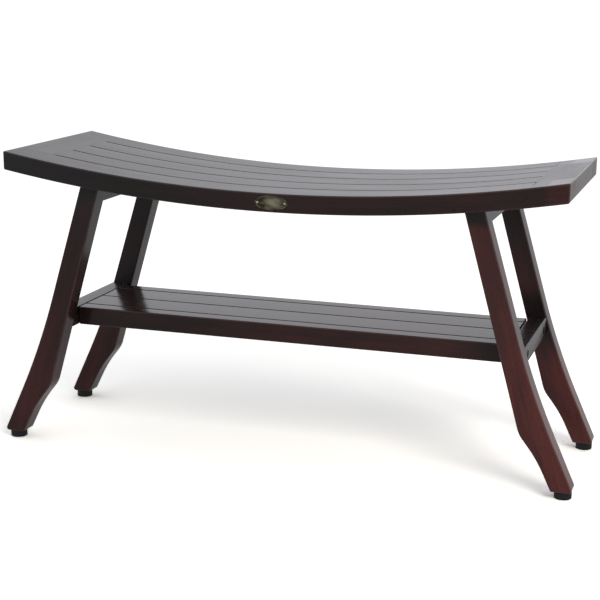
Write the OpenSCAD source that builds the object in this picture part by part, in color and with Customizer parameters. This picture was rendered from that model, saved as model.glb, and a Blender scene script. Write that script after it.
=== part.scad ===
// Shower bench: a dipped slatted seat on four sabre-cut splayed legs,
// with a slatted shelf bolted between the two leg frames.
// Millimetres, +Z up, X along the bench. The origin is on the floor, under the seat's middle.

/* [Seat] */
// Length of the seat from end to end
seat_l = 864; // [760:1:1100]
// Depth of the seat from front to back
seat_w = 305; // [280:1:380]
// Height of the seat's ends above the floor
seat_h = 466; // [440:1:520]
// How far the middle of the seat lies below its ends
seat_dip = 39.6; // [20:0.1:60]
// Thickness of the two long seat rails and of the end boards
rail_t = 28; // [24:1:36]
// Thickness of the three seat slats
slat_t = 18; // [14:1:22]
// Width of the open slots between the seat boards
slot_w = 3; // [2:0.5:6]
// Width of each crosswise end board
end_board_w = 57; // [40:1:80]
// Width of the battens under the seat slats
seat_batten_w = 45; // [30:1:60]
// Distance from the middle of the bench to each seat batten
seat_batten_x = 110; // [70:1:160]

/* [Legs] */
// Thickness of a leg from front to back
leg_t = 32.5; // [26:0.5:40]
// Distance from the seat's long edge in to the leg's flat face
leg_inset = 17; // [8:1:24]
// Distance between the left and right foot centres
foot_span = 884; // [840:1:960]
// Width of a leg where it is cut flat above its foot
toe_w = 33; // [30:1:40]
// Outward lean of the outer edge, from the seat down to the bend
lean_outer = 16.8; // [14:0.1:19]
// Outward lean of the inner edge, from the seat down to the knee
lean_inner = 16.05; // [14:0.05:17]
// Outward lean of the outer edge below the bend
toe_lean_outer = 24.8; // [22:0.1:28]
// Outward lean of the inner edge below the ankle
toe_lean_inner = 26.2; // [23:0.1:29]
// Outward lean of the inner edge between the knee and the ankle
shin_lean = 38.3; // [32:0.1:42]
// Height of the outer bend
bend_h = 160; // [125:1:170]
// Height of the knee on the inner edge
knee_h = 94; // [84:1:110]
// Height of the ankle on the inner edge
ankle_h = 59.5; // [50:0.5:68]
// Radius of the outer bend
bend_r = 1280; // [300:10:1400]
// Radius of the knee
knee_r = 46; // [20:1:60]
// Radius of the hollow at the ankle
ankle_r = 210; // [60:5:240]
// Radius of the blunted tip of the toe
toe_r = 3; // [2:0.5:8]

/* [Cross rails] */
// Thickness of an upper cross rail, square to the leg
top_rail_t = 28; // [22:1:29]
// How far an upper cross rail hangs below the seat, along the leg
top_rail_hang = 24; // [20:0.5:34]
// Width of a lower cross rail
low_rail_w = 27; // [24:1:28]
// Length of every tenon that goes into a leg
leg_tenon_l = 12; // [8:1:14]

/* [Shelf] */
// Height of the shelf's top above the floor
shelf_h = 215; // [190:1:260]
// Depth of the shelf from front to back
shelf_w = 174; // [150:1:190]
// Height of the shelf rails and of the lower cross rails
shelf_rail_h = 28.5; // [26:0.5:36]
// Width of a shelf rail
shelf_rail_w = 25; // [22:1:30]
// Thickness of the two shelf slats
shelf_slat_t = 16; // [12:1:18]
// Drain gap between the shelf's ends and the lower cross rails
shelf_end_gap = 2.5; // [1.5:0.5:5]
// Width of the battens under the shelf slats
shelf_batten_w = 40; // [28:1:55]
// Distance from the shelf's end to the middle of its outer battens
shelf_batten_inset = 56; // [52:1:120]

/* [Feet] */
// Diameter of a levelling foot's pad
pad_d = 26; // [20:0.5:28]
// Height of a pad, which is also the gap under the leg
pad_h = 12; // [9:0.5:16]
// Diameter of a foot's threaded stud
stud_d = 6; // [5:0.5:6]
// How far a stud reaches up into its leg
stud_reach = 18; // [15:0.5:20]
// Outer diameter of the threaded insert in the leg
insert_d = 10; // [8.5:0.5:11]
// Length of the threaded insert
insert_l = 13; // [10:0.5:14]

/* [Fasteners] */
// Diameter of the dowels at the seat's corners and in the leg tops
dowel_d = 8; // [6:0.5:9]
// Length of the dowels
dowel_l = 36; // [28:1:38]
// Diameter of the shelf bolts
bolt_d = 6; // [5:0.5:7]
// Length of a shelf bolt under its head
bolt_l = 60; // [54:1:66]
// Diameter of a shelf bolt's head
bolt_head_d = 10; // [8.5:0.5:11]
// Diameter of the recess that hides a bolt's head
bolt_recess_d = 12; // [11.5:0.5:14]
// Depth of that recess
bolt_recess_l = 9; // [8:0.5:10]
// Diameter of a barrel nut in a shelf rail
nut_d = 10; // [9:0.5:12]
// Length of a barrel nut
nut_l = 20; // [16:0.5:22]
// Diameter of the countersunk batten screws
screw_d = 4; // [3:0.5:5]
// Length of the countersunk batten screws
screw_l = 20; // [16:1:22]
// Diameter of the long screws between the upper cross rails and the slats
long_screw_d = 5; // [4:0.5:6]
// Length of those long screws
long_screw_l = 40; // [34:1:42]

/* [Badge] */
// Length of the oval plate on the front rail
badge_l = 51; // [36:1:60]
// Height of the oval plate
badge_h = 22; // [14:1:23]
// Thickness of the plate
badge_t = 0.8; // [0.5:0.1:1.1]
// Depth of the pocket that holds the plate
badge_pocket = 1.2; // [1.2:0.1:2]
// Distance from the plate's middle to each of its two pins
badge_pin_x = 21; // [14:0.5:22]

/* [Hidden] */

$fn = 48;
curve_fn = 1440;            // facets of the very large circles of the seat's curve
fit = 0.05;                 // radial clearance of glued dowels, pins, screws and inserts
joint_gap = 0.1;            // clearance where a part lies against the curved seat
past = 1;                   // how far a cut runs past the face that it opens
bore_room = 2;              // how much deeper a bore is than what goes into it
loose = 0.3;                // radial clearance of bolts and studs in their bores
big = 2000;                 // longer than anything here, for cuts

wood = "#3b2a27";
wood_dark = "#2f2422";
brass = "#8f7f55";
steel = "#9a9a98";
rubber = "#161616";

// The seat's curve: every board is a band of rings about one axis above the bench.
dip_r = (pow(seat_l / 2, 2) + pow(seat_dip, 2)) / (2 * seat_dip);
dip_z = seat_h - seat_dip + dip_r;
under_r = dip_r + rail_t;
slat_under_r = dip_r + slat_t;

// Widths of the five equal seat boards, and where they start
board_w = (seat_w - 4 * slot_w) / 5;
rail_y = seat_w / 2 - board_w;
slat_end_x = seat_l / 2 - end_board_w;
slat_pitch = board_w + slot_w;
slat_tenon_l = 10;
slat_tenon_t = 8;
slat_tenon_side = 6;
batten_tenon_l = 8;
batten_tenon_side = 6;

// Legs: the leg's inner flat face, and the straight edges above the bend and the knee
leg_y = seat_w / 2 - leg_inset - leg_t;
foot_x = foot_span / 2;
foot_y = leg_y + leg_t / 2;
toe_out = foot_x + toe_w / 2;
toe_in = foot_x - toe_w / 2;
bend_x = toe_out - (bend_h - pad_h) * tan(toe_lean_outer);
ankle_x = toe_in - (ankle_h - pad_h) * tan(toe_lean_inner);
knee_x = ankle_x - (knee_h - ankle_h) * tan(shin_lean);
function outer_x(z) = bend_x - (z - bend_h) * tan(lean_outer);
function inner_x(z) = knee_x - (z - knee_h) * tan(lean_inner);
function middle_x(z) = (outer_x(z) + inner_x(z)) / 2;

// Height of the band of radius r about the seat's axis, at x
function arc_z(r, x) = dip_z - sqrt(r * r - x * x);

// Where a leg's middle meets the underside of the seat, found in two steps
leg_top_z = arc_z(under_r, middle_x(arc_z(under_r, middle_x(seat_h - rail_t))));
leg_top_x = middle_x(leg_top_z);
leg_lean = (lean_outer + lean_inner) / 2;

// Upper cross rail: its lower middle point, and its tenon
top_rail_x = leg_top_x + top_rail_hang * sin(leg_lean);
top_rail_z = leg_top_z - top_rail_hang * cos(leg_lean);
top_tenon_t = top_rail_t / 2;
top_tenon_low = 4;
top_shoulder = 5;
top_tenon_high = top_rail_hang - top_shoulder;

// Lower cross rail, flush with the leg's outer edge at the shelf's height
low_rail_x1 = outer_x(shelf_h);
low_rail_x0 = low_rail_x1 - low_rail_w;
shelf_z = shelf_h - shelf_rail_h;
low_tenon_side = 6;

// Shelf
shelf_x = low_rail_x0 - shelf_end_gap;
shelf_rail_y = shelf_w / 2 - shelf_rail_w;
shelf_slat_w = (shelf_w - 2 * shelf_rail_w - 3 * slot_w) / 2;
shelf_slat_z = shelf_h - shelf_slat_t;
shelf_batten_x = shelf_x - shelf_batten_inset;
shelf_batten_t = shelf_slat_z - shelf_z;
shelf_tenon_l = 10;
shelf_tenon_side = 5;
bolt_y = shelf_w / 2 - shelf_rail_w / 2;
bolt_z = shelf_z + shelf_rail_h / 2;
washer_t = 1.2;
washer_room = 0.25;         // radial clearance of a washer in its recess
bolt_head_h = 6;
bolt_key_d = 5.8;           // across the corners of the hexagonal key socket
bolt_key_l = 3;
bolt_seat_x = low_rail_x1 - bolt_recess_l - washer_t;
bolt_hole_d = bolt_d + 2 * loose;
nut_x = bolt_seat_x - bolt_l + nut_d;
nut_sink = 0.5;

// Screws
shelf_screw_inset = 14;     // from a slat's edges to its screws
seat_screw_inset = 16;
screw_head_d = 2 * screw_d;
head_recess_l = 4;          // depth of the long screws' counterbores
head_room = 0.5;            // radial clearance of their heads

// Dowels in the leg tops follow the leg, side by side, outside the rail's tenon
leg_dowel_y = leg_y + leg_tenon_l + (leg_t - leg_tenon_l) / 2;
leg_dowel_spacing = 12;
leg_dowel_up = dowel_l * 0.4;
corner_dowel_inset = end_board_w / 4;

// Badge
badge_z = arc_z(dip_r + rail_t / 2, 0);
badge_margin = 0.4;
badge_pin_d = 2;
badge_pin_l = 12;
badge_head_d = 3.6;

// ---------- helpers ----------

function unit(v) = v / norm(v);

// Points of a round corner at b, on the way from a to c
function corner(a, b, c, r, steps) =
    let (
        u = unit(a - b),
        v = unit(c - b),
        half = acos(u * v) / 2,
        reach = min(r / tan(half), 0.49 * norm(a - b), 0.49 * norm(c - b)),
        centre = b + unit(u + v) * reach / cos(half),
        first = atan2((b + u * reach - centre).y, (b + u * reach - centre).x),
        last = atan2((b + v * reach - centre).y, (b + v * reach - centre).x),
        turn = (last - first + 540) % 360 - 180,
        radius = reach * tan(half)
    )
    [for (i = [0 : steps]) centre + radius * [cos(first + turn * i / steps), sin(first + turn * i / steps)]];

// A closed outline through points, each rounded by the radius at its own index
function rounded(points, radii, steps = 12) =
    let (n = len(points))
    [for (i = [0 : n - 1])
        each radii[i] == 0
            ? [points[i]]
            : corner(points[(i + n - 1) % n], points[i], points[(i + 1) % n], radii[i], steps)];

// Stands an XZ drawing up as a solid from y0 to y1
module upright(y0, y1) {
    translate([0, y1, 0])
        rotate([90, 0, 0])
            linear_extrude(y1 - y0)
                children();
}

// A box from its two corners
module block(low, high) {
    translate(low)
        cube(high - low);
}

// XZ drawing of a band of the seat's curve, between two radii and two places along X
module band(r0, r1, x0, x1) {
    intersection() {
        translate([0, dip_z])
            difference() {
                circle(r = r1, $fn = curve_fn);
                circle(r = r0, $fn = curve_fn);
            }
        translate([x0, 0])
            square([x1 - x0, seat_h + rail_t]);
    }
}

// Moves to the seat's curve at x: the local origin is on the top surface, and -Z goes into the seat
module on_curve(x) {
    translate([0, 0, dip_z])
        rotate([0, -asin(x / dip_r), 0])
            translate([0, 0, -dip_r])
                children();
}

// Moves to the foot of the upper cross rail, with +Z up along the leg
module on_top_rail() {
    translate([top_rail_x, 0, top_rail_z])
        rotate([0, -leg_lean, 0])
            children();
}

// Moves to where the leg's middle meets the seat, with +Z up along the leg
module on_leg_top() {
    translate([leg_top_x, 0, leg_top_z])
        rotate([0, -leg_lean, 0])
            children();
}

// Draws once on the right and once on the left
module both_ends() {
    children();
    mirror([1, 0, 0])
        children();
}

// Draws once at the back and once at the front
module both_sides() {
    children();
    mirror([0, 1, 0])
        children();
}

module all_corners() {
    both_ends()
        both_sides()
            children();
}

// Sets its child on the right (side = 1) or the left (side = -1)
module at_end(side) {
    if (side > 0)
        children();
    else
        mirror([1, 0, 0])
            children();
}

module at_side(side) {
    if (side > 0)
        children();
    else
        mirror([0, 1, 0])
            children();
}

// ---------- seat ----------

module seat_dowel(grow) {
    for (x = [slat_end_x + corner_dowel_inset, seat_l / 2 - corner_dowel_inset])
        translate([x, rail_y - dowel_l / 2 - grow, arc_z(dip_r + rail_t / 2, x)])
            rotate([-90, 0, 0])
                cylinder(d = dowel_d + 2 * grow, h = dowel_l + 2 * grow);
}

module leg_dowel(grow) {
    on_leg_top()
        for (x = [-leg_dowel_spacing / 2, leg_dowel_spacing / 2])
            translate([x, leg_dowel_y, leg_dowel_up - dowel_l - grow])
                cylinder(d = dowel_d + 2 * grow, h = dowel_l + 2 * grow);
}

// The band of a seat batten, or of its tenon, which goes into the seat rails
module seat_batten_band(r0, r1, half_w) {
    band(r0, r1, seat_batten_x - half_w, seat_batten_x + half_w);
}

seat_batten_tenon_t = (under_r - slat_under_r) / 2;
module seat_batten_tenon(grow) {
    upright(-rail_y - batten_tenon_l - grow, rail_y + batten_tenon_l + grow)
        seat_batten_band(
            under_r - seat_batten_tenon_t * 1.5 - grow,
            under_r - seat_batten_tenon_t * 0.5 + grow,
            seat_batten_w / 2 - batten_tenon_side + grow
        );
}

// The back rail; the front rail is its mirror image
module seat_rail() {
    difference() {
        upright(rail_y, seat_w / 2)
            band(dip_r, under_r, -seat_l / 2, seat_l / 2);
        both_ends() {
            seat_dowel(fit);
            leg_dowel(fit);
            seat_batten_tenon(fit);
        }
    }
}

function ellipse(a, b, steps = 48) =
    [for (i = [0 : steps - 1]) [a * cos(360 * i / steps), b * sin(360 * i / steps)]];

module badge_oval(grow) {
    translate([0, badge_z])
        polygon(ellipse(badge_l / 2 + grow, badge_h / 2 + grow));
}

module badge_pin(d, from_y, to_y) {
    both_ends()
        translate([badge_pin_x, from_y, badge_z])
            rotate([-90, 0, 0])
                cylinder(d = d, h = to_y - from_y, $fn = 24);
}

module seat_back_rail() {
    color(wood)
        seat_rail();
}

module seat_front_rail() {
    color(wood)
        difference() {
            mirror([0, 1, 0])
                seat_rail();
            upright(-seat_w / 2 - past, -seat_w / 2 + badge_pocket)
                badge_oval(badge_margin);
            badge_pin(badge_pin_d + 2 * fit, -seat_w / 2, -seat_w / 2 + badge_pocket + badge_pin_l);
        }
}

// Screws come up through the upper cross rails and the battens, one or two to each slat
module long_screw(grow) {
    on_top_rail()
        translate([0, 0, head_recess_l])
            cylinder(d = long_screw_d + 2 * grow, h = long_screw_l + grow);
}

module batten_screw(grow, d, l) {
    cylinder(d1 = 2 * d + 2 * grow, d2 = d + 2 * grow, h = d / 2);
    cylinder(d = d + 2 * grow, h = l + grow);
}

module seat_batten_screw(grow) {
    on_curve(seat_batten_x)
        translate([0, 0, -rail_t])
            for (y = [-1, 1] * (board_w / 2 - seat_screw_inset))
                translate([0, y, 0])
                    batten_screw(grow, screw_d, screw_l);
}

module slat_tenon(y, grow) {
    upright(y - board_w / 2 + slat_tenon_side - grow, y + board_w / 2 - slat_tenon_side + grow)
        band(
            dip_r + (slat_t - slat_tenon_t) / 2 - grow,
            dip_r + (slat_t + slat_tenon_t) / 2 + grow,
            -slat_end_x - slat_tenon_l - grow,
            slat_end_x + slat_tenon_l + grow
        );
}

// One of three slats; place is -1 at the front, 0 in the middle, 1 at the back
module seat_slat(place) {
    y = place * slat_pitch;
    difference() {
        union() {
            upright(y - board_w / 2, y + board_w / 2)
                band(dip_r, slat_under_r, -slat_end_x, slat_end_x);
            slat_tenon(y, 0);
        }
        translate([0, y, 0])
            both_ends() {
                long_screw(fit);
                seat_batten_screw(fit);
            }
    }
}

module seat_slat_front() {
    color(wood)
        seat_slat(-1);
}

module seat_slat_middle() {
    color(wood)
        seat_slat(0);
}

module seat_slat_back() {
    color(wood)
        seat_slat(1);
}

module seat_end_board(side) {
    color(wood)
        at_end(side)
            difference() {
                upright(-rail_y, rail_y)
                    band(dip_r, under_r, slat_end_x, seat_l / 2);
                for (place = [-1 : 1])
                    slat_tenon(place * slat_pitch, fit);
                both_sides()
                    seat_dowel(fit);
            }
}

module seat_end_board_left() {
    seat_end_board(-1);
}

module seat_end_board_right() {
    seat_end_board(1);
}

module seat_batten(side) {
    color(wood_dark)
        at_end(side)
            difference() {
                union() {
                    upright(-rail_y + fit, rail_y - fit)
                        seat_batten_band(slat_under_r + joint_gap, under_r, seat_batten_w / 2);
                    seat_batten_tenon(0);
                }
                for (place = [-1 : 1])
                    translate([0, place * slat_pitch, 0])
                        seat_batten_screw(fit);
            }
}

module seat_batten_left() {
    seat_batten(-1);
}

module seat_batten_right() {
    seat_batten(1);
}

// ---------- legs ----------

// The sabre outline, seen from the front, cut to the seat's curve at the top
module leg_outline() {
    above = leg_top_z + rail_t;
    difference() {
        polygon(rounded(
            [
                [outer_x(above), above],
                [bend_x, bend_h],
                [toe_out, pad_h],
                [toe_in, pad_h],
                [ankle_x, ankle_h],
                [knee_x, knee_h],
                [inner_x(above), above]
            ],
            [0, bend_r, toe_r, toe_r / 2, ankle_r, knee_r, 0]
        ));
        translate([0, dip_z])
            circle(r = under_r + joint_gap, $fn = curve_fn);
    }
}

module low_rail_tenon(grow) {
    block(
        [low_rail_x0 + low_tenon_side - grow, leg_y - past, shelf_z + low_tenon_side - grow],
        [low_rail_x1 - low_tenon_side + grow, leg_y + leg_tenon_l + grow, shelf_h - low_tenon_side + grow]
    );
}

module top_rail_tenon(grow) {
    on_top_rail()
        block(
            [-top_tenon_t / 2 - grow, leg_y - past, top_tenon_low - grow],
            [top_tenon_t / 2 + grow, leg_y + leg_tenon_l + grow, top_tenon_high + grow]
        );
}

// Bores for the threaded insert and for the end of the stud above it
module foot_bore() {
    translate([foot_x, foot_y, pad_h - past])
        cylinder(d = insert_d + 2 * fit, h = insert_l + past);
    translate([foot_x, foot_y, pad_h])
        cylinder(d = stud_d + 2 * loose, h = stud_reach + bore_room);
}

module leg(side, row) {
    color(wood)
        at_end(side)
            at_side(row)
                difference() {
                    upright(leg_y, leg_y + leg_t)
                        leg_outline();
                    low_rail_tenon(fit);
                    top_rail_tenon(fit);
                    leg_dowel(fit);
                    foot_bore();
                }
}

module leg_front_left() {
    leg(-1, -1);
}

module leg_front_right() {
    leg(1, -1);
}

module leg_back_left() {
    leg(-1, 1);
}

module leg_back_right() {
    leg(1, 1);
}

// ---------- cross rails ----------

// Tilted section of the upper cross rail, cut to a band of the seat's curve
module top_rail_section(cut_r) {
    difference() {
        translate([top_rail_x, top_rail_z])
            rotate(leg_lean)
                translate([-top_rail_t / 2, 0])
                    square([top_rail_t, top_rail_hang + 2 * rail_t]);
        translate([0, dip_z])
            circle(r = cut_r + joint_gap, $fn = curve_fn);
    }
}

// Notched over the seat rails at its ends, so that its middle carries the slats
module upper_cross_rail(side) {
    color(wood_dark)
        at_end(side)
            difference() {
                union() {
                    upright(-leg_y, leg_y)
                        top_rail_section(under_r);
                    upright(-rail_y + joint_gap, rail_y - joint_gap)
                        top_rail_section(slat_under_r);
                    both_sides()
                        top_rail_tenon(0);
                }
                for (place = [-1 : 1])
                    translate([0, place * slat_pitch, 0]) {
                        long_screw(fit);
                        on_top_rail()
                            translate([0, 0, -past])
                                cylinder(d = 2 * long_screw_d + 2 * head_room, h = head_recess_l + past);
                    }
            }
}

module upper_cross_rail_left() {
    upper_cross_rail(-1);
}

module upper_cross_rail_right() {
    upper_cross_rail(1);
}

module shelf_bolt_bore() {
    translate([low_rail_x1 - bolt_recess_l, bolt_y, bolt_z])
        rotate([0, 90, 0])
            cylinder(d = bolt_recess_d, h = bolt_recess_l + past);
    translate([bolt_seat_x - bolt_l - bore_room, bolt_y, bolt_z])
        rotate([0, 90, 0])
            cylinder(d = bolt_hole_d, h = bolt_l + bore_room + 2 * washer_t);
}

// Stub tenon on a shelf rail's end; its end bears on the mortise's floor and sets the drain gap
module shelf_rail_tenon(grow) {
    block(
        [shelf_x - past, shelf_rail_y + shelf_tenon_side - grow, shelf_z + shelf_tenon_side - grow],
        [low_rail_x0 + shelf_tenon_l, shelf_w / 2 - shelf_tenon_side + grow, shelf_h - shelf_tenon_side + grow]
    );
}

module lower_cross_rail(side) {
    color(wood)
        at_end(side)
            difference() {
                union() {
                    block([low_rail_x0, -leg_y, shelf_z], [low_rail_x1, leg_y, shelf_h]);
                    both_sides()
                        low_rail_tenon(0);
                }
                both_sides() {
                    shelf_rail_tenon(fit);
                    shelf_bolt_bore();
                }
            }
}

module lower_cross_rail_left() {
    lower_cross_rail(-1);
}

module lower_cross_rail_right() {
    lower_cross_rail(1);
}

// ---------- shelf ----------

module shelf_batten_tenon(x, grow) {
    block(
        [x - shelf_batten_w / 2 + batten_tenon_side - grow, -shelf_rail_y - batten_tenon_l - grow,
            shelf_z + shelf_batten_t / 4 - grow],
        [x + shelf_batten_w / 2 - batten_tenon_side + grow, shelf_rail_y + batten_tenon_l + grow,
            shelf_z + shelf_batten_t * 3 / 4 + grow]
    );
}

// The back rail; the front rail is its mirror image
module shelf_rail() {
    difference() {
        union() {
            block([-shelf_x, shelf_rail_y, shelf_z], [shelf_x, shelf_w / 2, shelf_h]);
            both_ends()
                shelf_rail_tenon(0);
        }
        both_ends() {
            shelf_bolt_bore();
            translate([nut_x, bolt_y, shelf_z - past])
                cylinder(d = nut_d + 2 * fit, h = nut_l + past);
        }
        for (x = [-shelf_batten_x, 0, shelf_batten_x])
            shelf_batten_tenon(x, fit);
    }
}

module shelf_back_rail() {
    color(wood)
        shelf_rail();
}

module shelf_front_rail() {
    color(wood)
        mirror([0, 1, 0])
            shelf_rail();
}

// Two screws to each slat, at each batten
module shelf_batten_screw(x, grow) {
    for (y = [shelf_screw_inset, shelf_slat_w - shelf_screw_inset])
        translate([x, slot_w / 2 + y, shelf_z])
            batten_screw(grow, screw_d, screw_l);
}

module shelf_slat() {
    difference() {
        block([-shelf_x, slot_w / 2, shelf_slat_z], [shelf_x, slot_w / 2 + shelf_slat_w, shelf_h]);
        for (x = [-shelf_batten_x, 0, shelf_batten_x])
            shelf_batten_screw(x, fit);
    }
}

module shelf_slat_back() {
    color(wood)
        shelf_slat();
}

module shelf_slat_front() {
    color(wood)
        mirror([0, 1, 0])
            shelf_slat();
}

module shelf_batten(x) {
    color(wood_dark)
        difference() {
            union() {
                block([x - shelf_batten_w / 2, -shelf_rail_y, shelf_z],
                    [x + shelf_batten_w / 2, shelf_rail_y, shelf_slat_z]);
                shelf_batten_tenon(x, 0);
            }
            both_sides()
                shelf_batten_screw(x, fit);
        }
}

module shelf_batten_left() {
    shelf_batten(-shelf_batten_x);
}

module shelf_batten_middle() {
    shelf_batten(0);
}

module shelf_batten_right() {
    shelf_batten(shelf_batten_x);
}

// ---------- dowels, screws and bolts ----------

module seat_corner_dowels() {
    color(wood_dark)
        all_corners()
            seat_dowel(0);
}

module leg_top_dowels() {
    color(wood_dark)
        all_corners()
            leg_dowel(0);
}

module seat_slat_screws() {
    color(steel)
        both_ends()
            for (place = [-1 : 1])
                translate([0, place * slat_pitch, 0]) {
                    long_screw(0);
                    on_top_rail()
                        translate([0, 0, head_recess_l - long_screw_d / 2])
                            cylinder(d = 2 * long_screw_d, h = long_screw_d / 2);
                }
}

module seat_batten_screws() {
    color(steel)
        both_ends()
            for (place = [-1 : 1])
                translate([0, place * slat_pitch, 0])
                    seat_batten_screw(0);
}

module shelf_batten_screws() {
    color(steel)
        both_sides()
            for (x = [-shelf_batten_x, 0, shelf_batten_x])
                shelf_batten_screw(x, 0);
}

module shelf_bolts() {
    color(steel)
        all_corners()
            translate([bolt_seat_x, bolt_y, bolt_z])
                rotate([0, 90, 0])
                    difference() {
                        union() {
                            translate([0, 0, 2 * washer_t])
                                cylinder(d = bolt_head_d, h = bolt_head_h);
                            translate([0, 0, 2 * washer_t - bolt_l])
                                cylinder(d = bolt_d, h = bolt_l);
                        }
                        translate([0, 0, 2 * washer_t + bolt_head_h - bolt_key_l])
                            cylinder(d = bolt_key_d, h = bolt_key_l + past, $fn = 6);
                    }
}

module shelf_bolt_washers() {
    color(steel)
        all_corners()
            translate([bolt_seat_x + washer_t, bolt_y, bolt_z])
                rotate([0, 90, 0])
                    difference() {
                        cylinder(d = bolt_recess_d - 2 * washer_room, h = washer_t);
                        translate([0, 0, -past])
                            cylinder(d = bolt_d + 2 * fit, h = washer_t + 2 * past);
                    }
}

module shelf_barrel_nuts() {
    color(steel)
        all_corners()
            difference() {
                translate([nut_x, bolt_y, shelf_z + nut_sink])
                    cylinder(d = nut_d, h = nut_l - nut_sink);
                translate([nut_x - nut_d, bolt_y, bolt_z])
                    rotate([0, 90, 0])
                        cylinder(d = bolt_d + 2 * fit, h = 2 * nut_d);
            }
}

// ---------- levelling feet ----------

module foot_inserts() {
    color(steel)
        all_corners()
            translate([foot_x, foot_y, pad_h])
                difference() {
                    cylinder(d = insert_d, h = insert_l);
                    translate([0, 0, -past])
                        cylinder(d = stud_d + 2 * fit, h = insert_l + 2 * past);
                }
}

pad_bottom_r = 1.5;
pad_top_chamfer = 0.5;
stud_root = 8;              // length of the stud that is moulded into its pad

module foot_pad(side, row) {
    color(rubber)
        at_end(side)
            at_side(row)
                translate([foot_x, foot_y, 0])
                    difference() {
                        rotate_extrude()
                            polygon(concat(
                                [[0, 0]],
                                [for (a = [-90 : 15 : 0])
                                    [pad_d / 2 - pad_bottom_r, pad_bottom_r] + pad_bottom_r * [cos(a), sin(a)]],
                                [[pad_d / 2, pad_h - pad_top_chamfer], [pad_d / 2 - pad_top_chamfer, pad_h], [0, pad_h]]
                            ));
                        translate([0, 0, pad_h - stud_root])
                            cylinder(d = stud_d, h = stud_root + past);
                    }
}

module foot_stud(side, row) {
    color(steel)
        at_end(side)
            at_side(row)
                translate([foot_x, foot_y, pad_h - stud_root])
                    cylinder(d = stud_d, h = stud_root + stud_reach);
}

module foot_pad_front_left() {
    foot_pad(-1, -1);
}

module foot_pad_front_right() {
    foot_pad(1, -1);
}

module foot_pad_back_left() {
    foot_pad(-1, 1);
}

module foot_pad_back_right() {
    foot_pad(1, 1);
}

module foot_stud_front_left() {
    foot_stud(-1, -1);
}

module foot_stud_front_right() {
    foot_stud(1, -1);
}

module foot_stud_back_left() {
    foot_stud(-1, 1);
}

module foot_stud_back_right() {
    foot_stud(1, 1);
}

// ---------- badge ----------

badge_face_y = -seat_w / 2 + badge_pocket - badge_t;

module badge_plate() {
    color(brass)
        difference() {
            upright(badge_face_y, badge_face_y + badge_t)
                badge_oval(0);
            badge_pin(badge_pin_d + 2 * fit, badge_face_y - past, badge_face_y + badge_t + past);
        }
}

module badge_pins() {
    color(brass) {
        badge_pin(badge_pin_d, -seat_w / 2, badge_face_y + badge_t + badge_pin_l);
        badge_pin(badge_head_d, -seat_w / 2, badge_face_y);
    }
}

seat_front_rail();
seat_back_rail();
seat_slat_front();
seat_slat_middle();
seat_slat_back();
seat_end_board_left();
seat_end_board_right();
seat_batten_left();
seat_batten_right();
leg_front_left();
leg_front_right();
leg_back_left();
leg_back_right();
upper_cross_rail_left();
upper_cross_rail_right();
lower_cross_rail_left();
lower_cross_rail_right();
shelf_front_rail();
shelf_back_rail();
shelf_slat_front();
shelf_slat_back();
shelf_batten_left();
shelf_batten_middle();
shelf_batten_right();
seat_corner_dowels();
leg_top_dowels();
seat_slat_screws();
seat_batten_screws();
shelf_batten_screws();
shelf_bolts();
shelf_bolt_washers();
shelf_barrel_nuts();
foot_inserts();
foot_pad_front_left();
foot_pad_front_right();
foot_pad_back_left();
foot_pad_back_right();
foot_stud_front_left();
foot_stud_front_right();
foot_stud_back_left();
foot_stud_back_right();
badge_plate();
badge_pins();
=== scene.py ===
"""A stained teak shower bench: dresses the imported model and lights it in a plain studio."""

import math

import bmesh
import bpy
from bpy.props import FloatProperty, FloatVectorProperty, PointerProperty
from mathutils import Matrix, Vector


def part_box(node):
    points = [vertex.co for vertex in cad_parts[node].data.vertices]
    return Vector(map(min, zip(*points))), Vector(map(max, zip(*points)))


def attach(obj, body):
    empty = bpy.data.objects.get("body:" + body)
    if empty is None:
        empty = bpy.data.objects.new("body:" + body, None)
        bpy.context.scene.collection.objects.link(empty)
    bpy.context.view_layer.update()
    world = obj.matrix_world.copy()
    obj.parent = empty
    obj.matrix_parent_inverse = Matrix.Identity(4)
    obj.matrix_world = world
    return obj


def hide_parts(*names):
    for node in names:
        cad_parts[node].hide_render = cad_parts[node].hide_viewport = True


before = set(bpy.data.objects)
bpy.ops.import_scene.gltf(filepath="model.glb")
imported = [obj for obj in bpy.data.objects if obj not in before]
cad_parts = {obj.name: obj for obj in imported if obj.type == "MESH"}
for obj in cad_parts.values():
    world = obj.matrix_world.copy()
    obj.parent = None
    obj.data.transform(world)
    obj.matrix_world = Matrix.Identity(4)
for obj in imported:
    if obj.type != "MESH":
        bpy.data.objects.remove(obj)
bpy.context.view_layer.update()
BOXES = {node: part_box(node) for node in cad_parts}

bl_info = {
    "name": "Teak Shower Bench",
    "version": (1, 0, 0),
    "blender": (4, 5, 0),
    "location": "View3D > Sidebar > Bench",
    "description": "Builds the seat, legs, shelf, feet and badge of a stained teak shower bench",
    "category": "Add Mesh",
}

MM = 0.001
BODY = "bench"
CORNERS = ("front_left", "front_right", "back_left", "back_right")
SHARP = math.radians(35)  # faces that meet at more than this have a sharp edge between them
EDGE_WEAR_AND_HIGHLIGHT = 0.08  # how pale most edges are drawn: a little abrasion, with a painted highlight on the rounded edge
LIGHT_RED = 0.08  # how much red shows in most boards
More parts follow.
